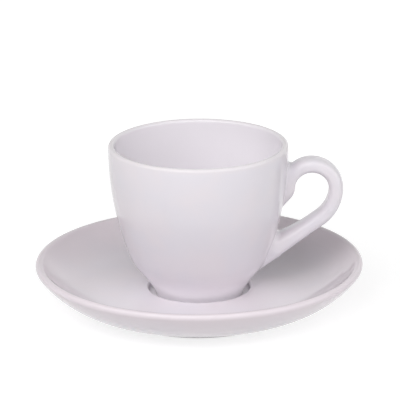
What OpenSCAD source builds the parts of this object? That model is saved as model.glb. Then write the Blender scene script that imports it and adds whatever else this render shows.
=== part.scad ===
// Espresso cup with an ear handle, standing in the well of its saucer, in glazed white porcelain.
// Millimetres, +Z up, origin on the axis of the saucer at the plane it stands on, handle along +X.

/* [Cup] */
// Outer diameter of the cup at its lip
rim_d = 65.4; // [58:0.2:74]
// Height of the cup from its resting face to the top of the lip
cup_h = 57; // [51:0.2:65]
// Thickness of the rounded lip
lip_t = 2.3; // [1.6:0.1:3.2]
// Height of the upright band at the top of the wall, lip included
band_h = 3; // [2:0.2:8]
// Radius of the curve of the wall, outside, in section
wall_curve_r = 110; // [100:1:130]
// Radius of the curve of the wall, inside, in section
bore_curve_r = 98; // [88:1:106]
// Radius of the outer curve that turns the wall in towards the foot
shoulder_r = 14; // [10:0.5:18]
// Height of the centre of that curve above the resting face
shoulder_z = 19.5; // [18:0.1:22]
// Height of the inner floor above the resting face
floor_z = 6.2; // [5:0.2:8]
// Radius of the inner curve between the floor and the wall
floor_curve_r = 14; // [8:0.5:18]

/* [Cup foot] */
// Outer diameter of the foot ring
foot_d = 32.4; // [30:0.2:35]
// Width of the foot ring
foot_w = 3; // [2:0.1:5]
// Depth of the recess inside the foot ring
foot_recess = 2; // [1:0.1:3]
// Radius of the hollow curve between the foot and the shoulder
foot_fillet_r = 27; // [20:0.5:34]
// Rounding of the two lower edges of the foot ring
foot_round = 0.6; // [0.2:0.1:0.8]

/* [Handle] */
// Distance from the lip's outer radius to the outermost point of the handle
handle_reach = 20; // [17:0.2:24]
// Depth of the top of the handle below the top of the lip
handle_drop = 5.6; // [4:0.2:9]
// Thickness of the handle seen from the side
handle_t = 5.3; // [4:0.1:6.5]
// Width of the handle across the finger
handle_w = 9; // [6:0.2:11]
// Squareness of the handle's section, where 2 is an oval
handle_square = 3; // [2:0.1:4]
// Outer radius of the upper bend of the handle
ear_r = 11.5; // [10:0.1:13]
// Outer radius of the lower bend of the handle
heel_r = 16.7; // [14:0.1:19]
// Height above the cup's resting face at which the lower edge of the handle meets the cup
heel_z = 8.5; // [6:0.1:12]
// Depth of the upper root below the top of the handle, at its upper edge
root_drop = 5.5; // [3:0.1:8]
// Depth of the upper root's tail below the middle of the upper bend
tail_drop = 9; // [7:0.2:12]
// Extra width of the upper root where it meets the cup
root_spread = 2; // [0:0.2:4]
// Extra width of the lower root where it meets the cup
heel_spread = 5; // [0:0.2:7]
// Extra thickness of the lower root where it meets the cup
heel_flare = 3; // [1:0.2:5]

/* [Saucer] */
// Outer diameter of the saucer
saucer_d = 120; // [112:0.5:132]
// Height of the saucer's rim above the plane it stands on
saucer_h = 18.1; // [16:0.1:22]
// Radius of the saucer's edge from its outermost line up to its top
edge_top_r = 1.2; // [0.8:0.1:2]
// Radius of the edge from its top in towards the dish
edge_in_r = 2.4; // [1.2:0.1:4]
// Radius of the edge from its outermost line down to the underside
edge_out_r = 1.8; // [1.2:0.1:4]
// Radius of the curve of the saucer's underside, in section
side_r = 35; // [31:0.5:42]
// Radius of the curve of the dish, in section
dish_r = 30; // [25:0.5:33]
// Thickness of the base between the recess below and the floor of the well
base_t = 3.8; // [3:0.1:6]

/* [Well] */
// Radial play between the foot of the cup and the wall of the well
well_gap = 2.4; // [0.5:0.1:4]
// Depth of the well below the dish
well_depth = 2.4; // [1.4:0.1:3]
// Rounding of the upper edge of the well
well_round = 1; // [0.4:0.1:1.2]

/* [Saucer foot] */
// Outer diameter of the saucer's foot ring
ring_d = 68.8; // [64:0.2:76]
// Width of the saucer's foot ring
ring_w = 3; // [2:0.1:5]
// Height of the foot ring below the base
ring_h = 1.8; // [1.2:0.1:3]
// Rounding of the two lower edges of the saucer's foot ring
ring_round = 0.6; // [0.2:0.1:0.8]

/* [Hidden] */
porcelain = "#e6e1e8";
$fn = 128;

// Largest distance between a curve in section and its chords
curve_gap = 0.01;
// Sides of the handle's section, and the stations along each of its stretches
handle_sides = 24;
root_steps = 14;
ear_steps = 8;
heel_steps = 6;
arm_steps = 20;

// Point at an angle on a circle, and the points along an arc of it
function on_circle(c, r, a) = c + r * [cos(a), sin(a)];
function arc_count(r, a0, a1) = max(2, ceil(abs(a1 - a0) / (2 * acos(1 - curve_gap / r))));
function arc(c, r, a0, a1) =
    let (n = arc_count(r, a0, a1))
    [for (i = [0:n]) on_circle(c, r, a0 + (a1 - a0) * i / n)];
function angle_to(from, to) = atan2(to.y - from.y, to.x - from.x);
function leg(hypotenuse, other) = sqrt(hypotenuse * hypotenuse - other * other);
// Third corner of a triangle on the right of the line from a to b, at given distances from a and from b
function apex(a, b, from_a, from_b) =
    let (d = norm(b - a))
    let (corner = acos((from_a * from_a + d * d - from_b * from_b) / (2 * from_a * d)))
    on_circle(a, from_a, angle_to(a, b) - corner);
function bezier(p, t) =
    pow(1 - t, 3) * p[0] + 3 * t * pow(1 - t, 2) * p[1] + 3 * t * t * (1 - t) * p[2] + pow(t, 3) * p[3];

// Outside of the cup in section, as radius and height above the resting face: three arcs in a smooth row
rim_r = rim_d / 2;
lip_r = lip_t / 2;
foot_r = foot_d / 2;
wall_c = [rim_r - wall_curve_r, cup_h - band_h];
shoulder_c = [wall_c.x + leg(wall_curve_r - shoulder_r, shoulder_z - wall_c.y), shoulder_z];
foot_edge = [foot_r, foot_round];
fillet_c = apex(foot_edge, shoulder_c, foot_fillet_r, shoulder_r + foot_fillet_r);
wall_end = angle_to(wall_c, shoulder_c);
shoulder_end = angle_to(shoulder_c, fillet_c);
outside = concat(
    arc([foot_r - foot_round, foot_round], foot_round, -90, 0),
    arc(fillet_c, foot_fillet_r, angle_to(foot_edge, fillet_c) + 180, shoulder_end + 180),
    arc(shoulder_c, shoulder_r, shoulder_end, wall_end),
    arc(wall_c, wall_curve_r, wall_end, 0));
// Radius of the outside at a height on the wall, the shoulder or the hollow above the foot
wall_end_z = on_circle(wall_c, wall_curve_r, wall_end).y;
shoulder_end_z = on_circle(shoulder_c, shoulder_r, shoulder_end).y;
function outer_r(z) =
    z > wall_end_z ? wall_c.x + leg(wall_curve_r, min(z, wall_c.y) - wall_c.y) :
    z > shoulder_end_z ? shoulder_c.x + leg(shoulder_r, z - shoulder_c.y) :
    fillet_c.x - leg(foot_fillet_r, z - fillet_c.y);

// Lip and inside of the cup in section, from the lip down to the floor
lip_c = [rim_r - lip_r, cup_h - lip_r];
bore_c = [rim_r - lip_t - bore_curve_r, wall_c.y];
floor_c_z = floor_z + floor_curve_r;
floor_c = [bore_c.x + leg(bore_curve_r - floor_curve_r, floor_c_z - bore_c.y), floor_c_z];
inside = concat(
    arc(lip_c, lip_r, 0, 180),
    arc(bore_c, bore_curve_r, 0, angle_to(bore_c, floor_c)),
    arc(floor_c, floor_curve_r, angle_to(bore_c, floor_c), -90));

// Recess under the cup, from the axis out to the resting face of the foot ring
foot_inner_r = foot_r - foot_w;
recess = concat(
    [[0, floor_z], [0, foot_recess], [foot_inner_r, foot_recess]],
    arc([foot_inner_r + foot_round, foot_round], foot_round, 180, 270));

// Underside of the saucer: the foot ring, then one arc up to the rounded edge
saucer_r = saucer_d / 2;
edge_top_c = [saucer_r - edge_top_r, saucer_h - edge_top_r];
edge_in_c = [edge_top_c.x, saucer_h - edge_in_r];
edge_out_c = [saucer_r - edge_out_r, edge_top_c.y];
side_c_z = ring_h + side_r;
side_c = [edge_out_c.x - leg(side_r - edge_out_r, side_c_z - edge_out_c.y), side_c_z];
side_end = angle_to(side_c, edge_out_c);
ring_r = ring_d / 2;
ring_inner_r = ring_r - ring_w;
side_start = asin((ring_r - side_c.x) / side_r) - 90;
underside = concat(
    [[0, ring_h], [ring_inner_r, ring_h]],
    arc([ring_inner_r + ring_round, ring_round], ring_round, 180, 270),
    arc([ring_r - ring_round, ring_round], ring_round, -90, 0),
    arc(side_c, side_r, side_start, side_end));

// Top of the saucer: the rounded edge, the dish, then the edge and floor of the well
well_z = ring_h + base_t;
well_r = foot_r + well_gap;
dish_z = well_z + well_depth;
dish_c_z = dish_z + dish_r;
dish_c = [edge_in_c.x - leg(dish_r + edge_in_r, dish_c_z - edge_in_c.y), dish_c_z];
top_side = concat(
    arc(edge_out_c, edge_out_r, side_end, 0),
    arc(edge_top_c, edge_top_r, 0, 90),
    arc(edge_in_c, edge_in_r, 90, angle_to(edge_in_c, dish_c)),
    arc(dish_c, dish_r, angle_to(dish_c, edge_in_c), -90),
    arc([well_r + well_round, dish_z - well_round], well_round, 90, 180),
    [[well_r, well_z], [0, well_z]]);

// Outer and inner edge of the handle seen from the side: two bends, then a straight arm down to the cup
ear_c = [rim_r + handle_reach - ear_r, cup_h - handle_drop - ear_r];
heel_c = [ear_c.x + ear_r - heel_r, ear_c.y];
hole_r = ear_r - handle_t;
heel_meet = [outer_r(heel_z), heel_z];
arm_turn = angle_to(heel_c, heel_meet) + acos(heel_r / norm(heel_meet - heel_c));
// Both roots run on inside the wall by this much before the wall cuts them off
root_sink = 4;
arm_dir = [sin(arm_turn), -cos(arm_turn)];
arm_l = leg(norm(heel_meet - heel_c), heel_r) + root_sink;
// Share of the arm's length at which the lower root has its full width and thickness
heel_full = 0.6;
// Upper root: its outer edge leaves the top of the bend, its inner edge runs down the wall as a tail
root_pull = [4.4, 3.4];
tail_pull = [1, 4];
ear_top = on_circle(ear_c, ear_r, 90);
root_z = ear_top.y - root_drop;
root_end = [outer_r(root_z) - root_sink / 4, root_z];
root_edge = [ear_top, ear_top - [root_pull.x, 0], root_end + [root_pull.x / 2, root_pull.y], root_end];
hole_left = on_circle(ear_c, hole_r, 180);
tail_z = ear_c.y - tail_drop;
tail_end = [outer_r(tail_z) - root_sink / 8, tail_z];
tail_edge = [hole_left, hole_left - [0, tail_pull.y], tail_end + tail_pull, tail_end];

// Stations along the handle: outer point, inner point and the extra width of a root
function tail_station(t) = [bezier(root_edge, (1 + t) / 2), bezier(tail_edge, t), root_spread * pow(t, 3)];
function root_station(t) = [bezier(root_edge, t / 2), on_circle(ear_c, hole_r, 90 + 90 * t), 0];
function bend_station(c, r, a) = [on_circle(c, r, a), on_circle(c, r - handle_t, a), 0];
function arm_station(t) =
    let (start = bend_station(heel_c, heel_r, arm_turn))
    let (run = arm_l * t * arm_dir)
    let (grown = pow(min(t / heel_full, 1), 3))
    let (flare = heel_flare * grown * [arm_dir.y, -arm_dir.x])
    [start[0] + run, start[1] + run + flare, heel_spread * grown];
stations = concat(
    [for (i = [root_steps:-1:1]) tail_station(i / root_steps)],
    [for (i = [ear_steps:-1:1]) root_station(i / ear_steps)],
    [for (i = [0:ear_steps - 1]) bend_station(ear_c, ear_r, 90 - 90 * i / ear_steps)],
    [for (i = [0:heel_steps - 1]) bend_station(heel_c, heel_r, arm_turn * i / heel_steps)],
    [for (i = [0:arm_steps]) arm_station(i / arm_steps)]);

// Oblong section of the handle with round corners at one station: sines and cosines are pushed outward
function squared(v) = sign(v) * pow(abs(v), 2 / handle_square);
function section(s) =
    let (mid = (s[0] + s[1]) / 2)
    let (half = (s[0] - s[1]) / 2)
    let (half_w = (handle_w + s[2]) / 2)
    [for (k = [0:handle_sides - 1])
        let (a = 360 * k / handle_sides)
        let (p = mid + half * squared(cos(a)))
        [p.x, half_w * squared(sin(a)), p.y]];

// Skin of triangles over a row of sections
module sweep(rings) {
    n = len(rings[0]);
    last = len(rings) - 1;
    sides = [for (i = [0:last - 1]) for (k = [0:n - 1])
        let (a = i * n + k, b = i * n + (k + 1) % n)
        each [[a, b, a + n], [b, b + n, a + n]]];
    start_cap = [for (k = [1:n - 2]) [0, k + 1, k]];
    end_cap = [for (k = [1:n - 2]) [last * n, last * n + k, last * n + k + 1]];
    polyhedron([for (r = rings) each r], concat(sides, start_cap, end_cap));
}

// The cup as if it were solid, which shapes the ends of the handle
module cup_blank() {
    rotate_extrude()
        polygon(concat([[0, lip_c.y], [0, 0]], outside, [[rim_r, lip_c.y]]));
}

module saucer() {
    color(porcelain)
        rotate_extrude()
            polygon(concat(underside, top_side));
}

module cup_body() {
    color(porcelain)
        translate([0, 0, well_z])
            rotate_extrude()
                polygon(concat(outside, inside, recess));
}

module cup_handle() {
    color(porcelain)
        translate([0, 0, well_z])
            difference() {
                sweep([for (s = stations) section(s)]);
                cup_blank();
            }
}

saucer();
cup_body();
cup_handle();
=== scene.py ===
"""Espresso cup and saucer in glazed white porcelain: fine meshes over the CAD solids, in a white studio."""
from math import acos, atan2, ceil, cos, pi, radians, sin, sqrt

import bpy
import numpy as np
from mathutils import Matrix, Vector


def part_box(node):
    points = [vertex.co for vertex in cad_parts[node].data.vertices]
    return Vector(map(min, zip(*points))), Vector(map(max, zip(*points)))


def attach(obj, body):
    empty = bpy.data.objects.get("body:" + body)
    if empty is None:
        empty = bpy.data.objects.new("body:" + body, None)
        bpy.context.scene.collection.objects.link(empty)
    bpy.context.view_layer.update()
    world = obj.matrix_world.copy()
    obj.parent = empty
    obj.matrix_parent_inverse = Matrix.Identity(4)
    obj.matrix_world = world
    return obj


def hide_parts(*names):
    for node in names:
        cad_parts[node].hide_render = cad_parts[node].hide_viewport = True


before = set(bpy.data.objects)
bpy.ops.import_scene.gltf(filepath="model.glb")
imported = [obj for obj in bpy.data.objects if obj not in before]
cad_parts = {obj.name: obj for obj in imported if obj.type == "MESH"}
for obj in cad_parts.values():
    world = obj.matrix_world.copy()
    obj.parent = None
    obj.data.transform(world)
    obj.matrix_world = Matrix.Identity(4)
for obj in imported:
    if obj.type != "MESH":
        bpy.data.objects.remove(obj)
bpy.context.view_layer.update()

# Overall sizes come from the CAD nodes, in metres
MM = 0.001
SAUCER_LOW, SAUCER_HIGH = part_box("saucer")
CUP_LOW, CUP_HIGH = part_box("cup_body")
HANDLE_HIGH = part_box("cup_handle")[1]

# Cup in section, heights above its resting face
CUP_Z = CUP_LOW.z
CUP_H = CUP_HIGH.z - CUP_LOW.z
RIM_R = CUP_HIGH.x
LIP_T = 2.3 * MM
BAND_H = 3 * MM
WALL_CURVE_R = 110 * MM
BORE_CURVE_R = 98 * MM
SHOULDER_R = 14 * MM
SHOULDER_Z = 19.5 * MM
FLOOR_Z = 6.2 * MM
FLOOR_CURVE_R = 14 * MM
FOOT_R = 16.2 * MM
FOOT_W = 3 * MM
FOOT_RECESS = 2 * MM
FOOT_FILLET_R = 27 * MM
FOOT_ROUND = 0.6 * MM

# Handle seen from the side, and the width of its section
HANDLE_REACH = HANDLE_HIGH.x
HANDLE_TOP = HANDLE_HIGH.z - CUP_Z
HANDLE_T = 5.3 * MM
HANDLE_W = 9 * MM
# Squareness of the handle's section, where 2 is an oval
HANDLE_SQUARE = 3
EAR_R = 11.5 * MM
HEEL_R = 16.7 * MM
HEEL_Z = 8.5 * MM
ROOT_DROP = 5.5 * MM
TAIL_DROP = 9 * MM
ROOT_SPREAD = 2 * MM
HEEL_SPREAD = 5 * MM
HEEL_FLARE = 3 * MM
HEEL_FULL = 0.6
ROOT_SINK = 4 * MM
ROOT_PULL = Vector((4.4, 3.4)) * MM
TAIL_PULL = Vector((1, 4)) * MM

# Saucer in section
SAUCER_R = SAUCER_HIGH.x
SAUCER_H = SAUCER_HIGH.z
EDGE_TOP_R = 1.2 * MM
EDGE_IN_R = 2.4 * MM
EDGE_OUT_R = 1.8 * MM
SIDE_R = 35 * MM
DISH_R = 30 * MM
WELL_Z = CUP_Z
WELL_GAP = 2.4 * MM
WELL_R = FOOT_R + WELL_GAP
WELL_DEPTH = 2.4 * MM
WELL_ROUND = 1 * MM
RING_R = 34.4 * MM
RING_W = 3 * MM
RING_H = 1.8 * MM
RING_ROUND = 0.6 * MM

# Glaze that fills inner corners, and the roots of the handle
CORNER_R = 0.8 * MM
ROOT_FILLET_R = 1.3 * MM
# Lengths over which the curves of the cup's wall and of the dish run into each other
WALL_EASE = 3 * MM
DISH_EASE = 5 * MM
# Depth of the handle's hidden ends below the surface of the cup
HIDDEN = 0.3 * MM

# Fineness of the meshes
CURVE_GAP = 0.004 * MM
SAME = 0.001 * MM
LATHE_STEPS = 192
HANDLE_SIDES = 64
HANDLE_RINGS = 160
HANDLE_STEPS = 80
EASE_STEP = 0.5 * MM
EASE_SAMPLES = 41
FILLET_RINGS = 8
SLOPE_STEP = 0.01 * MM
SMALL_TURN = radians(0.05)

# Camera at the photograph's viewing angle
CAMERA_ELEVATION = radians(18.0)
CAMERA_DISTANCE = 1.0452
CAMERA_TARGET = Vector((0.00051, 0, 0.04095))
CAMERA_ROLL = radians(0.44)
CAMERA_LENS = 257.75
SENSOR = 36

# Glaze: faint clouds in its tone and gloss, and a thinner coat on the edge; a painted tint and a paler
# painted tone stand in for shade and light, as marked below
COOL_GLAZE = (0.795, 0.765, 0.815, 1)
WARM_GLAZE = (0.815, 0.770, 0.810, 1)
THIN_GLAZE = (0.830, 0.785, 0.810, 1)
# Rosy tone of the saucer: partly its thinner coat, partly a tint painted over the shade of its dish and
# underside
ROSY_EDGE_AND_SHADE_GLAZE = (0.825, 0.745, 0.790, 1)
# Painted light: a paler tone on the inside of the cup, the hollow above its foot, the handle's lower root
# and the saucer's well, which lie in shade
PAINTED_LIGHT_GLAZE = (0.900, 0.865, 0.905, 1)
PAINTED_LIGHT_ATTRIBUTE = "painted_light"
# Heights above the foot between which the painted light, a paler tone on the cup's shaded hollow, ends
PAINTED_LIGHT_LOW = 5 * MM
PAINTED_LIGHT_HIGH = 14 * MM
# Power by which the painted light grows over the lip towards the cup's shaded inside
LIP_PAINTED_LIGHT_POWER = 3
GLAZE_SPECULAR = 0.3
CLOUD_SIZE = 16 * MM
SMUDGE_SIZE = 9 * MM
CLOUD_DETAIL = 2
CLOUD_RANGE = (0.35, 0.65)
GLOSS_RANGE = (0.04, 0.08)
# Heights below the cup's and the saucer's edge over which the coat thins, and how thin it gets; on the
# saucer this long fade also carries a rosy tint painted over the shade of its dish
CUP_EDGE_FADE = 2.5 * MM
SAUCER_EDGE_AND_SHADE_FADE = 14 * MM
EDGE_SHARE = 0.85
# Fine scratches of cup and spoon that dull the middle of the saucer
WORN_R = 26 * MM
WORN_FADE = 30 * MM
WORN_ROUGHNESS = 0.26
# Its surface: long waves of the dipped coat, and rare pinholes
PEEL_SIZE = 3 * MM
PEEL_DEPTH = 0.012 * MM
PINHOLE_SPACING = 7 * MM
PINHOLE_R = 0.15 * MM
PINHOLE_DEPTH = 0.04 * MM
# Bare clay on the resting faces, wiped free of glaze for the kiln
BARE_H = 0.2 * MM
CLAY_LIGHT = (0.80, 0.76, 0.71, 1)
CLAY_DARK = (0.68, 0.63, 0.58, 1)
CLAY_ROUGHNESS = 0.8
GRAIN_SIZE = 0.5 * MM
GRAIN_DETAIL = 4
GRAIN_DEPTH = 0.03 * MM

# Studio: the even light of the surroundings, and the floor
WHITE = (1, 1, 1, 1)
AMBIENT = 0.02
FLOOR_SIZE = 6
FLOOR_GAP = 0.1 * MM
FLOOR_COLOR = (0.82, 0.82, 0.82, 1)
# Floor to look at: darker paper, and a glow under the object and away from it that makes it white
SEEN_FLOOR_COLOR = (0.4, 0.4, 0.4, 1)
NEAR_GLOW = 0.78
FAR_GLOW = 0.92
GLOW_RADII = (0.1, 0.4)
# Softboxes round the object: name, azimuth and elevation in degrees, width and height in metres, watts
LAMP_DISTANCE = 1
SOFTBOXES = (
    ("left_softbox", -45, 35, 1.2, 0.9, 5.2),
    ("front_softbox", 0, 42, 1.2, 0.7, 4.0),
    ("top_softbox", -15, 62, 1.5, 1.2, 2.6),
    ("right_softbox", 72, 14, 1.0, 0.5, 3.0),
    ("right_fill", 60, 26, 0.8, 0.6, 0.6),
    ("left_fill", -95, 28, 0.9, 0.7, 0.5),
    ("back_fill", 145, 25, 0.9, 0.6, 0.5),
)


def on_circle(centre, r, angle):
    """Point at an angle on a circle in section."""
    return centre + r * Vector((cos(angle), sin(angle)))


def arc(centre, r, start, end):
    """Points along an arc in section, close enough to hide the chords."""
    count = max(2, ceil(abs(end - start) / (2 * acos(1 - CURVE_GAP / r))))
    return [on_circle(centre, r, start + (end - start) * i / count) for i in range(count + 1)]


def eased(points, reach):
    """Run of points of a section with its changes of curvature spread out and its ends kept."""
    run = np.array([points[0]] + [q for p, q in zip(points, points[1:]) if (q - p).length > SAME])
    along = np.concatenate([[0], np.cumsum(np.hypot(*np.diff(run, axis=0).T))])
    made = []
    for at in np.linspace(0, along[-1], ceil(along[-1] / EASE_STEP)):
        span = min(reach, at, along[-1] - at)
        near = np.linspace(at - span, at + span, EASE_SAMPLES)
        r = np.interp(near, along, run[:, 0]).mean()
        z = np.interp(near, along, run[:, 1]).mean()
        made.append(Vector((r, z)))
    return made


def angle_to(start, end):
    """Direction from one point of a section to another."""
    return atan2(end.y - start.y, end.x - start.x)


def leg(hypotenuse, other):
    """Second leg of a right triangle."""
    return sqrt(hypotenuse * hypotenuse - other * other)


def bezier(points, t):
    """Point on a cubic curve through its four control points."""
    a, b, c, d = points
    return (1 - t) ** 3 * a + 3 * t * (1 - t) ** 2 * b + 3 * t * t * (1 - t) * c + t ** 3 * d


class CupOutside:
    """Outside of the cup in section: foot, hollow, shoulder and wall as smoothly joined arcs."""

    def __init__(self):
        self.wall = Vector((RIM_R - WALL_CURVE_R, CUP_H - BAND_H))
        across = leg(WALL_CURVE_R - SHOULDER_R, SHOULDER_Z - self.wall.y)
        self.shoulder = Vector((self.wall.x + across, SHOULDER_Z))
        self.foot_edge = Vector((FOOT_R, FOOT_ROUND))
        span = (self.shoulder - self.foot_edge).length
        reach = SHOULDER_R + FOOT_FILLET_R
        corner = acos((FOOT_FILLET_R ** 2 + span ** 2 - reach ** 2) / (2 * FOOT_FILLET_R * span))
        towards = angle_to(self.foot_edge, self.shoulder) - corner
        self.hollow = on_circle(self.foot_edge, FOOT_FILLET_R, towards)
        self.wall_end = angle_to(self.wall, self.shoulder)
        self.shoulder_end = angle_to(self.shoulder, self.hollow)

    def points(self):
        """Section from the resting face up to the band below the lip."""
        foot = Vector((FOOT_R - FOOT_ROUND, FOOT_ROUND))
        hollow_start = angle_to(self.foot_edge, self.hollow) + pi
        side = (arc(self.hollow, FOOT_FILLET_R, hollow_start, self.shoulder_end + pi)
                + arc(self.shoulder, SHOULDER_R, self.shoulder_end, self.wall_end)
                + arc(self.wall, WALL_CURVE_R, self.wall_end, 0))
        return arc(foot, FOOT_ROUND, -pi / 2, 0) + eased(side, WALL_EASE)

    def radius(self, z):
        """Radius at heights above the foot, for numbers or arrays."""
        z = np.clip(z, FOOT_ROUND, self.wall.y)
        wall = self.wall.x + np.sqrt(WALL_CURVE_R ** 2 - (z - self.wall.y) ** 2)
        shoulder = self.shoulder.x + np.sqrt(np.maximum(SHOULDER_R ** 2 - (z - self.shoulder.y) ** 2, 0))
        hollow = self.hollow.x - np.sqrt(np.maximum(FOOT_FILLET_R ** 2 - (z - self.hollow.y) ** 2, 0))
        wall_low = on_circle(self.wall, WALL_CURVE_R, self.wall_end).y
        shoulder_low = on_circle(self.shoulder, SHOULDER_R, self.shoulder_end).y
        return np.where(z > wall_low, wall, np.where(z > shoulder_low, shoulder, hollow))

    def distance(self, points):
        """Distance of points from the surface, and the surface's normals there; z is above the foot."""
        r = np.hypot(points[..., 0], points[..., 1])
        z = points[..., 2]
        slope = (self.radius(z + SLOPE_STEP) - self.radius(z - SLOPE_STEP)) / (2 * SLOPE_STEP)
        length = np.sqrt(1 + slope ** 2)
        normals = np.stack([points[..., 0] / r, points[..., 1] / r, -slope], axis=-1) / length[..., None]
        return (r - self.radius(z)) / length, normals


def painted_light_share(z):
    """Share of painted light, a paler tone for the shaded hollow, on the outside of the cup at a height
    above its foot.
    """
    return min(1, max(0, (PAINTED_LIGHT_HIGH - z) / (PAINTED_LIGHT_HIGH - PAINTED_LIGHT_LOW)))


def cup_section(outside):
    """Closed section of the cup, from below round the lip to the inside, and where light is painted in as a
    paler tone.
    """
    lip = Vector((RIM_R - LIP_T / 2, CUP_H - LIP_T / 2))
    bore = Vector((RIM_R - LIP_T - BORE_CURVE_R, outside.wall.y))
    floor_centre_z = FLOOR_Z + FLOOR_CURVE_R
    across = leg(BORE_CURVE_R - FLOOR_CURVE_R, floor_centre_z - bore.y)
    floor = Vector((bore.x + across, floor_centre_z))
    bore_end = angle_to(bore, floor)
    inner = FOOT_R - FOOT_W
    corner = Vector((inner - CORNER_R, FOOT_RECESS - CORNER_R))
    foot = Vector((inner + FOOT_ROUND, FOOT_ROUND))
    below = ([Vector((0, FOOT_RECESS))]
             + arc(corner, CORNER_R, pi / 2, 0)
             + arc(foot, FOOT_ROUND, pi, 3 * pi / 2)
             + outside.points())
    bowl = (arc(bore, BORE_CURVE_R, 0, bore_end)
            + arc(floor, FLOOR_CURVE_R, bore_end, -pi / 2)
            + [Vector((0, FLOOR_Z))])
    lip_points = arc(lip, LIP_T / 2, 0, pi / 2) + arc(lip, LIP_T / 2, pi / 2, pi)
    lip_painted_light = [(i / (len(lip_points) - 1)) ** LIP_PAINTED_LIGHT_POWER for i in range(len(lip_points))]
    return below + lip_points + bowl, [painted_light_share(p.y) for p in below] + lip_painted_light + [1] * len(bowl)


def saucer_section():
    """Closed section of the saucer, from below round the edge to the well, and where light is painted into
    the shaded well as a paler tone.
    """
    edge_top = Vector((SAUCER_R - EDGE_TOP_R, SAUCER_H - EDGE_TOP_R))
    edge_in = Vector((edge_top.x, SAUCER_H - EDGE_IN_R))
    edge_out = Vector((SAUCER_R - EDGE_OUT_R, edge_top.y))
    side_z = RING_H + SIDE_R
    side = Vector((edge_out.x - leg(SIDE_R - EDGE_OUT_R, side_z - edge_out.y), side_z))
    side_end = angle_to(side, edge_out)
    inner = RING_R - RING_W
    recess = Vector((inner - CORNER_R, RING_H - CORNER_R))
    ring_in = Vector((inner + RING_ROUND, RING_ROUND))
    ring_out = Vector((RING_R - RING_ROUND, RING_ROUND))
    hollow_x = RING_R + CORNER_R
    hollow = Vector((hollow_x, side.y - leg(SIDE_R + CORNER_R, hollow_x - side.x)))
    dish_z = WELL_Z + WELL_DEPTH
    dish = Vector((edge_in.x - leg(DISH_R + EDGE_IN_R, dish_z + DISH_R - edge_in.y), dish_z + DISH_R))
    well_edge = Vector((WELL_R + WELL_ROUND, dish_z - WELL_ROUND))
    well_corner = Vector((WELL_R - CORNER_R, WELL_Z + CORNER_R))
    dish_run = arc(dish, DISH_R, angle_to(dish, edge_in), -pi / 2) + [Vector((well_edge.x, dish_z))]
    points = ([Vector((0, RING_H))]
              + arc(recess, CORNER_R, pi / 2, 0)
              + arc(ring_in, RING_ROUND, pi, 3 * pi / 2)
              + arc(ring_out, RING_ROUND, -pi / 2, 0)
              + arc(hollow, CORNER_R, pi, angle_to(hollow, side))
              + arc(side, SIDE_R, angle_to(side, hollow), side_end)
              + arc(edge_out, EDGE_OUT_R, side_end, 0)
              + arc(edge_top, EDGE_TOP_R, 0, pi / 2)
              + arc(edge_in, EDGE_IN_R, pi / 2, angle_to(edge_in, dish))
              + eased(dish_run, DISH_EASE))
    well = (arc(well_edge, WELL_ROUND, pi / 2, pi)
            + arc(well_corner, CORNER_R, 0, -pi / 2)
            + [Vector((0, WELL_Z))])
    return points + well, [0] * len(points) + [1] * len(well)


def mesh_object(name, verts, faces, painted_light=None):
    """A smooth-shaded mesh in the shared frame, with the share of painted light, a paler tone, at each
    point.
    """
    mesh = bpy.data.meshes.new(name)
    mesh.from_pydata(verts, [], faces)
    mesh.validate()
    mesh.shade_smooth()
    if painted_light:
        mesh.attributes.new(PAINTED_LIGHT_ATTRIBUTE, "FLOAT", "POINT").data.foreach_set("value", painted_light)
    obj = bpy.data.objects.new(name, mesh)
    bpy.context.scene.collection.objects.link(obj)
    return obj


def lathe(name, section, base_z, painted_light):
    """Surface of revolution of a section whose first and last points lie on the axis."""
    kept = [i for i in range(1, len(section) - 1) if (section[i] - section[i - 1]).length > SAME]
    verts = [(0, 0, base_z + section[0].y)]
    marks = [painted_light[0]]
    for i in kept:
        for k in range(LATHE_STEPS):
            turn = 2 * pi * k / LATHE_STEPS
            verts.append((section[i].x * cos(turn), section[i].x * sin(turn), base_z + section[i].y))
            marks.append(painted_light[i])
    verts.append((0, 0, base_z + section[-1].y))
    marks.append(painted_light[-1])
    last = len(verts) - 1
    faces = []
    for k in range(LATHE_STEPS):
        after = (k + 1) % LATHE_STEPS
        faces.append((0, 1 + after, 1 + k))
        for i in range(len(kept) - 1):
            low = 1 + i * LATHE_STEPS
            high = low + LATHE_STEPS
            faces.append((low + k, low + after, high + after, high + k))
        top = 1 + (len(kept) - 1) * LATHE_STEPS
        faces.append((top + k, top + after, last))
    return mesh_object(name, verts, faces, marks)


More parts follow.
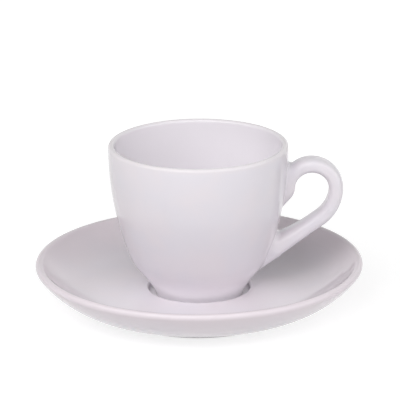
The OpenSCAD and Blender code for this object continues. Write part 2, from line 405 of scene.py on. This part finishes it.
def handle_stations(outside):
    """Rows of outer point, inner point and extra width along the handle, from the upper root down."""
    ear = Vector((HANDLE_REACH - EAR_R, HANDLE_TOP - EAR_R))
    heel = Vector((HANDLE_REACH - HEEL_R, ear.y))
    hole_r = EAR_R - HANDLE_T
    meet = Vector((float(outside.radius(HEEL_Z)), HEEL_Z))
    span = (meet - heel).length
    arm_turn = angle_to(heel, meet) + acos(HEEL_R / span)
    arm_dir = Vector((sin(arm_turn), -cos(arm_turn)))
    arm_side = Vector((arm_dir.y, -arm_dir.x))
    arm_l = leg(span, HEEL_R) + ROOT_SINK
    ear_top = on_circle(ear, EAR_R, pi / 2)
    root_z = ear_top.y - ROOT_DROP
    root_end = Vector((float(outside.radius(root_z)) - ROOT_SINK / 4, root_z))
    root_lift = Vector((ROOT_PULL.x / 2, ROOT_PULL.y))
    root_edge = (ear_top, ear_top - Vector((ROOT_PULL.x, 0)), root_end + root_lift, root_end)
    hole_left = on_circle(ear, hole_r, pi)
    tail_z = ear.y - TAIL_DROP
    tail_end = Vector((float(outside.radius(tail_z)) - ROOT_SINK / 8, tail_z))
    tail_edge = (hole_left, hole_left - Vector((0, TAIL_PULL.y)), tail_end + TAIL_PULL, tail_end)

    def tail(t):
        return bezier(root_edge, (1 + t) / 2), bezier(tail_edge, t), ROOT_SPREAD * t ** 3

    def root(t):
        return bezier(root_edge, t / 2), on_circle(ear, hole_r, pi / 2 * (1 + t)), 0

    def bend(centre, r, angle):
        return on_circle(centre, r, angle), on_circle(centre, r - HANDLE_T, angle), 0

    def arm(t):
        outer, inner, _ = bend(heel, HEEL_R, arm_turn)
        grown = min(t / HEEL_FULL, 1) ** 3
        run = arm_l * t * arm_dir
        return outer + run, inner + run + HEEL_FLARE * grown * arm_side, HEEL_SPREAD * grown

    shares = [i / HANDLE_STEPS for i in range(HANDLE_STEPS)]
    return ([tail(1 - t) for t in shares]
            + [root(1 - t) for t in shares]
            + [bend(ear, EAR_R, pi / 2 * (1 - t)) for t in shares]
            + [bend(heel, HEEL_R, arm_turn * t) for t in shares]
            + [arm(t) for t in shares + [1]])


def squared(values):
    """Sines or cosines pushed outward, which turn an oval into an oblong with round corners."""
    return np.sign(values) * np.abs(values) ** (2 / HANDLE_SQUARE)


def handle_skin(stations):
    """Points and outward normals of the oblong tube, as arrays of station by side by coordinate."""
    turns = np.arange(HANDLE_SIDES) * 2 * pi / HANDLE_SIDES
    skin = np.zeros((len(stations), HANDLE_SIDES, 3))
    for i, (outer, inner, extra) in enumerate(stations):
        middle = (outer + inner) / 2
        half = (outer - inner) / 2
        skin[i, :, 0] = middle.x + half.x * squared(np.cos(turns))
        skin[i, :, 1] = (HANDLE_W + extra) / 2 * squared(np.sin(turns))
        skin[i, :, 2] = middle.y + half.y * squared(np.cos(turns))
    along = np.gradient(skin, axis=0)
    around = np.roll(skin, -1, axis=1) - np.roll(skin, 1, axis=1)
    normals = np.cross(around, along)
    normals /= np.linalg.norm(normals, axis=2, keepdims=True)
    centres = skin.mean(axis=1, keepdims=True)
    if np.sum(normals * (skin - centres)) < 0:
        normals = -normals
    return skin, normals


def sample(rows, side, at):
    """Value on one line along the handle, at a fractional station."""
    low = min(int(at), len(rows) - 2)
    return rows[low, side] + (at - low) * (rows[low + 1, side] - rows[low, side])


def fillet(outside, skin, normals, side, at):
    """Points of the glaze's rounding at one end of a line along the handle, down to the cup's wall."""
    point = sample(skin, side, at)
    normal = sample(normals, side, at)
    normal /= np.linalg.norm(normal)
    centre = point + ROOT_FILLET_R * normal
    wall_normal = outside.distance(centre[None])[1][0]
    angle = acos(max(-1, min(1, float(normal @ wall_normal))))
    made = []
    for i in range(1, FILLET_RINGS + 1):
        share = i / FILLET_RINGS
        if angle > SMALL_TURN:
            between = (sin((1 - share) * angle) * normal + sin(share * angle) * wall_normal) / sin(angle)
        else:
            between = normal
        made.append(centre - ROOT_FILLET_R * between)
    made.append(made[-1] - HIDDEN * wall_normal)
    return made


def handle(name, outside):
    """The ear of oblong section with both roots run into the cup's wall by a rounding of glaze."""
    stations = handle_stations(outside)
    skin, normals = handle_skin(stations)
    clear = outside.distance(skin + ROOT_FILLET_R * normals)[0] - ROOT_FILLET_R
    top_row = 2 * HANDLE_STEPS
    columns = []
    for side in range(HANDLE_SIDES):
        upper = max(i for i in range(top_row) if clear[i, side] <= 0)
        upper += clear[upper, side] / (clear[upper, side] - clear[upper + 1, side])
        lower = min(i for i in range(top_row, len(stations)) if clear[i, side] <= 0)
        lower -= clear[lower, side] / (clear[lower, side] - clear[lower - 1, side])
        places = np.linspace(upper, lower, HANDLE_RINGS + 1)
        rings = [sample(skin, side, at) for at in places]
        start = fillet(outside, skin, normals, side, upper)
        end = fillet(outside, skin, normals, side, lower)
        columns.append(start[::-1] + rings + end)
    grid = np.array(columns).transpose(1, 0, 2)
    grid[:, :, 2] += CUP_Z
    count = len(grid)
    verts = [tuple(p) for ring in grid for p in ring]
    verts += [tuple(grid[0].mean(axis=0)), tuple(grid[-1].mean(axis=0))]
    faces = []
    for k in range(HANDLE_SIDES):
        after = (k + 1) % HANDLE_SIDES
        for i in range(count - 1):
            low = i * HANDLE_SIDES
            high = low + HANDLE_SIDES
            faces.append((low + k, high + k, high + after, low + after))
        end = (count - 1) * HANDLE_SIDES
        faces.append((len(verts) - 2, k, after))
        faces.append((len(verts) - 1, end + after, end + k))
    # Painted light: a paler tone on the handle's lower root, by height, as on the cup's shaded hollow
    return mesh_object(name, verts, faces, [painted_light_share(z - CUP_Z) for _, _, z in verts])


def add_node(tree, kind, **values):
    """A shader node with some of its inputs or properties set by name."""
    made = tree.nodes.new(kind)
    for key, value in values.items():
        label = key.replace("_", " ")
        if label in made.inputs:
            made.inputs[label].default_value = value
        else:
            setattr(made, key, value)
    return made


def socket(sockets, identifier):
    """Socket of a node that has several of the same name."""
    return next(s for s in sockets if s.identifier == identifier)


def feed(tree, target, value):
    """Links a socket to another, or sets it to a number or colour."""
    if isinstance(value, bpy.types.NodeSocket):
        tree.links.new(value, target)
    else:
        target.default_value = value


def ranged(tree, value, low, high, to_low, to_high):
    """Value carried smoothly from one range to another."""
    node = add_node(tree, "ShaderNodeMapRange", interpolation_type="SMOOTHSTEP",
                    From_Min=low, From_Max=high, To_Min=to_low, To_Max=to_high)
    tree.links.new(value, node.inputs["Value"])
    return node.outputs["Result"]


def computed(tree, operation, first, second):
    """Sum, product or the like of two values."""
    node = add_node(tree, "ShaderNodeMath", operation=operation)
    feed(tree, node.inputs[0], first)
    feed(tree, node.inputs[1], second)
    return node.outputs[0]


def mixed(tree, share, first, second):
    """Colour between two others."""
    node = add_node(tree, "ShaderNodeMix", data_type="RGBA")
    feed(tree, socket(node.inputs, "Factor_Float"), share)
    feed(tree, socket(node.inputs, "A_Color"), first)
    feed(tree, socket(node.inputs, "B_Color"), second)
    return socket(node.outputs, "Result_Color")


def noise(tree, place, size, detail):
    """Soft noise with features of a given size, between 0 and 1."""
    node = add_node(tree, "ShaderNodeTexNoise", Scale=1 / size, Detail=detail)
    tree.links.new(place, node.inputs["Vector"])
    return node.outputs["Fac"]


def glaze(name, foot_z, edge_z, edge_and_shade_fade, edge_and_shade_tone, worn_r):
    """Porcelain under a wavy gloss glaze: thin to the edge, dull within a radius, bare where it stands,
    with painted light as a paler tone and, on the saucer, a rosy tint painted over its shade.
    """
    material = bpy.data.materials.new(name)
    material.use_nodes = True
    tree = material.node_tree
    shader = tree.nodes["Principled BSDF"]
    shader.inputs["Specular IOR Level"].default_value = GLAZE_SPECULAR
    place = add_node(tree, "ShaderNodeTexCoord").outputs["Object"]
    split = add_node(tree, "ShaderNodeSeparateXYZ")
    tree.links.new(place, split.inputs[0])
    height = split.outputs["Z"]
    clouds = noise(tree, place, CLOUD_SIZE, CLOUD_DETAIL)
    smudges = noise(tree, place, SMUDGE_SIZE, CLOUD_DETAIL)
    peel = noise(tree, place, PEEL_SIZE, 0)
    grain = noise(tree, place, GRAIN_SIZE, GRAIN_DETAIL)

    ragged = computed(tree, "ADD", height, computed(tree, "MULTIPLY", grain, BARE_H))
    bare = ranged(tree, ragged, foot_z + BARE_H, foot_z + 2 * BARE_H, 1, 0)
    # Thinner coat towards the edge; on the saucer its rosy tone, spread far below the edge, is also a
    # painted tint of the shade on the dish
    edge_and_shade = ranged(tree, height, edge_z - edge_and_shade_fade, edge_z, 0, EDGE_SHARE)
    tone = mixed(tree, ranged(tree, clouds, *CLOUD_RANGE, 0, 1), COOL_GLAZE, WARM_GLAZE)
    tone = mixed(tree, edge_and_shade, tone, edge_and_shade_tone)
    # Painted light: a paler tone where the mesh marks the shaded inside, hollow, handle root and well
    painted_light = add_node(tree, "ShaderNodeAttribute", attribute_name=PAINTED_LIGHT_ATTRIBUTE).outputs["Fac"]
    tone = mixed(tree, painted_light, tone, PAINTED_LIGHT_GLAZE)
    clay = mixed(tree, grain, CLAY_DARK, CLAY_LIGHT)
    feed(tree, shader.inputs["Base Color"], mixed(tree, bare, tone, clay))

    gloss = ranged(tree, smudges, *CLOUD_RANGE, *GLOSS_RANGE)
    dull = computed(tree, "MULTIPLY", bare, CLAY_ROUGHNESS)
    rough = computed(tree, "MAXIMUM", gloss, dull)
    if worn_r:
        level = add_node(tree, "ShaderNodeCombineXYZ")
        tree.links.new(split.outputs["X"], level.inputs["X"])
        tree.links.new(split.outputs["Y"], level.inputs["Y"])
        from_axis = add_node(tree, "ShaderNodeVectorMath", operation="LENGTH")
        tree.links.new(level.outputs[0], from_axis.inputs[0])
        worn = ranged(tree, from_axis.outputs["Value"], worn_r, worn_r + WORN_FADE, WORN_ROUGHNESS, 0)
        rough = computed(tree, "MAXIMUM", rough, worn)
    feed(tree, shader.inputs["Roughness"], rough)

    cells = add_node(tree, "ShaderNodeTexVoronoi", Scale=1 / PINHOLE_SPACING)
    tree.links.new(place, cells.inputs["Vector"])
    pinhole_r = PINHOLE_R / PINHOLE_SPACING
    pinholes = ranged(tree, cells.outputs["Distance"], pinhole_r / 2, pinhole_r, PINHOLE_DEPTH, 0)
    waves = computed(tree, "MULTIPLY", peel, PEEL_DEPTH)
    rough_clay = computed(tree, "MULTIPLY", computed(tree, "MULTIPLY", grain, GRAIN_DEPTH), bare)
    relief = computed(tree, "ADD", computed(tree, "SUBTRACT", waves, pinholes), rough_clay)
    bump = add_node(tree, "ShaderNodeBump", Strength=1, Distance=1)
    tree.links.new(relief, bump.inputs["Height"])
    tree.links.new(bump.outputs["Normal"], shader.inputs["Normal"])
    return material


def softbox(name, azimuth, elevation, width, height, power):
    """A wide lamp that faces the object; azimuth 0 is in front, 90 on the handle's side."""
    data = bpy.data.lights.new(name, "AREA")
    data.shape = "RECTANGLE"
    data.size = width
    data.size_y = height
    data.energy = power
    obj = bpy.data.objects.new(name, data)
    turn = radians(azimuth)
    rise = radians(elevation)
    away = Vector((sin(turn) * cos(rise), -cos(turn) * cos(rise), sin(rise)))
    obj.location = Vector((0, 0, CUP_H / 2)) + LAMP_DISTANCE * away
    obj.rotation_euler = away.to_track_quat("Z", "Y").to_euler()
    bpy.context.scene.collection.objects.link(obj)
    return obj


def seen_directly(tree):
    """Socket that is 1 for rays from the camera and for those from a glossy or clear surface."""
    path = add_node(tree, "ShaderNodeLightPath")
    gloss = computed(tree, "MAXIMUM", path.outputs["Is Camera Ray"], path.outputs["Is Glossy Ray"])
    return computed(tree, "MAXIMUM", gloss, path.outputs["Is Transmission Ray"])


def studio_world():
    """White surroundings to look at, and a softer even light from them."""
    world = bpy.data.worlds.new("studio")
    world.cycles.sampling_method = "NONE"
    world.use_nodes = True
    tree = world.node_tree
    light = tree.nodes["Background"]
    light.inputs["Color"].default_value = WHITE
    light.inputs["Strength"].default_value = AMBIENT
    white = add_node(tree, "ShaderNodeBackground", Color=WHITE, Strength=1)
    mix = add_node(tree, "ShaderNodeMixShader")
    tree.links.new(seen_directly(tree), mix.inputs["Fac"])
    tree.links.new(light.outputs[0], mix.inputs[1])
    tree.links.new(white.outputs[0], mix.inputs[2])
    tree.links.new(mix.outputs[0], tree.nodes["World Output"].inputs["Surface"])
    bpy.context.scene.world = world


def studio_floor():
    """Pale floor under the saucer that takes the shadow and is white to look at elsewhere."""
    far = FLOOR_SIZE / 2
    corners = [(x * far, y * far, -FLOOR_GAP) for x, y in ((-1, -1), (1, -1), (1, 1), (-1, 1))]
    floor = mesh_object("floor", corners, [(0, 1, 2, 3)])
    material = bpy.data.materials.new("floor_paper")
    material.cycles.emission_sampling = "NONE"
    material.use_nodes = True
    tree = material.node_tree
    tree.nodes.remove(tree.nodes["Principled BSDF"])
    paper = add_node(tree, "ShaderNodeBsdfDiffuse", Color=FLOOR_COLOR)
    place = add_node(tree, "ShaderNodeTexCoord").outputs["Object"]
    away = add_node(tree, "ShaderNodeVectorMath", operation="LENGTH")
    tree.links.new(place, away.inputs[0])
    glow = add_node(tree, "ShaderNodeEmission", Color=WHITE)
    strength = ranged(tree, away.outputs["Value"], *GLOW_RADII, NEAR_GLOW, FAR_GLOW)
    tree.links.new(strength, glow.inputs["Strength"])
    seen_paper = add_node(tree, "ShaderNodeBsdfDiffuse", Color=SEEN_FLOOR_COLOR)
    both = add_node(tree, "ShaderNodeAddShader")
    tree.links.new(seen_paper.outputs[0], both.inputs[0])
    tree.links.new(glow.outputs[0], both.inputs[1])
    mix = add_node(tree, "ShaderNodeMixShader")
    tree.links.new(seen_directly(tree), mix.inputs["Fac"])
    tree.links.new(paper.outputs[0], mix.inputs[1])
    tree.links.new(both.outputs[0], mix.inputs[2])
    tree.links.new(mix.outputs[0], tree.nodes["Material Output"].inputs["Surface"])
    floor.data.materials.append(material)


def photo_camera():
    """Camera at the photograph's height and distance, with its small tilt."""
    data = bpy.data.cameras.new("camera")
    data.sensor_width = SENSOR
    data.lens = CAMERA_LENS
    obj = bpy.data.objects.new("camera", data)
    back = Vector((0, -cos(CAMERA_ELEVATION), sin(CAMERA_ELEVATION)))
    right = Vector((1, 0, 0))
    down = right.cross(back)
    tilted_right = cos(CAMERA_ROLL) * right + sin(CAMERA_ROLL) * down
    tilted_up = sin(CAMERA_ROLL) * right - cos(CAMERA_ROLL) * down
    turned = Matrix((tilted_right, tilted_up, back)).transposed().to_4x4()
    obj.matrix_world = Matrix.Translation(CAMERA_TARGET + CAMERA_DISTANCE * back) @ turned
    bpy.context.scene.collection.objects.link(obj)
    bpy.context.scene.camera = obj


outside = CupOutside()
saucer_points, saucer_painted_light = saucer_section()
saucer = lathe("porcelain_saucer", saucer_points, 0, saucer_painted_light)
cup_points, cup_painted_light = cup_section(outside)
cup = lathe("porcelain_cup", cup_points, CUP_Z, cup_painted_light)
ear = handle("porcelain_handle", outside)
for piece, body, node, slot in (
        (saucer, "saucer", "saucer", "saucer_glaze"),
        (cup, "cup", "cup_body", "cup_glaze"),
        (ear, "cup", "cup_handle", "cup_glaze")):
    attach(piece, body)
    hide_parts(node)
saucer_glaze = glaze("saucer_glaze", SAUCER_LOW.z, SAUCER_HIGH.z, SAUCER_EDGE_AND_SHADE_FADE, ROSY_EDGE_AND_SHADE_GLAZE, WORN_R)
saucer.data.materials.append(saucer_glaze)
cup_glaze = glaze("cup_glaze", CUP_LOW.z, CUP_HIGH.z, CUP_EDGE_FADE, THIN_GLAZE, None)
cup.data.materials.append(cup_glaze)
ear.data.materials.append(cup_glaze)

photo_camera()
for lamp in SOFTBOXES:
    softbox(*lamp)

studio_world()
studio_floor()
bpy.context.scene.view_settings.view_transform = "Standard"
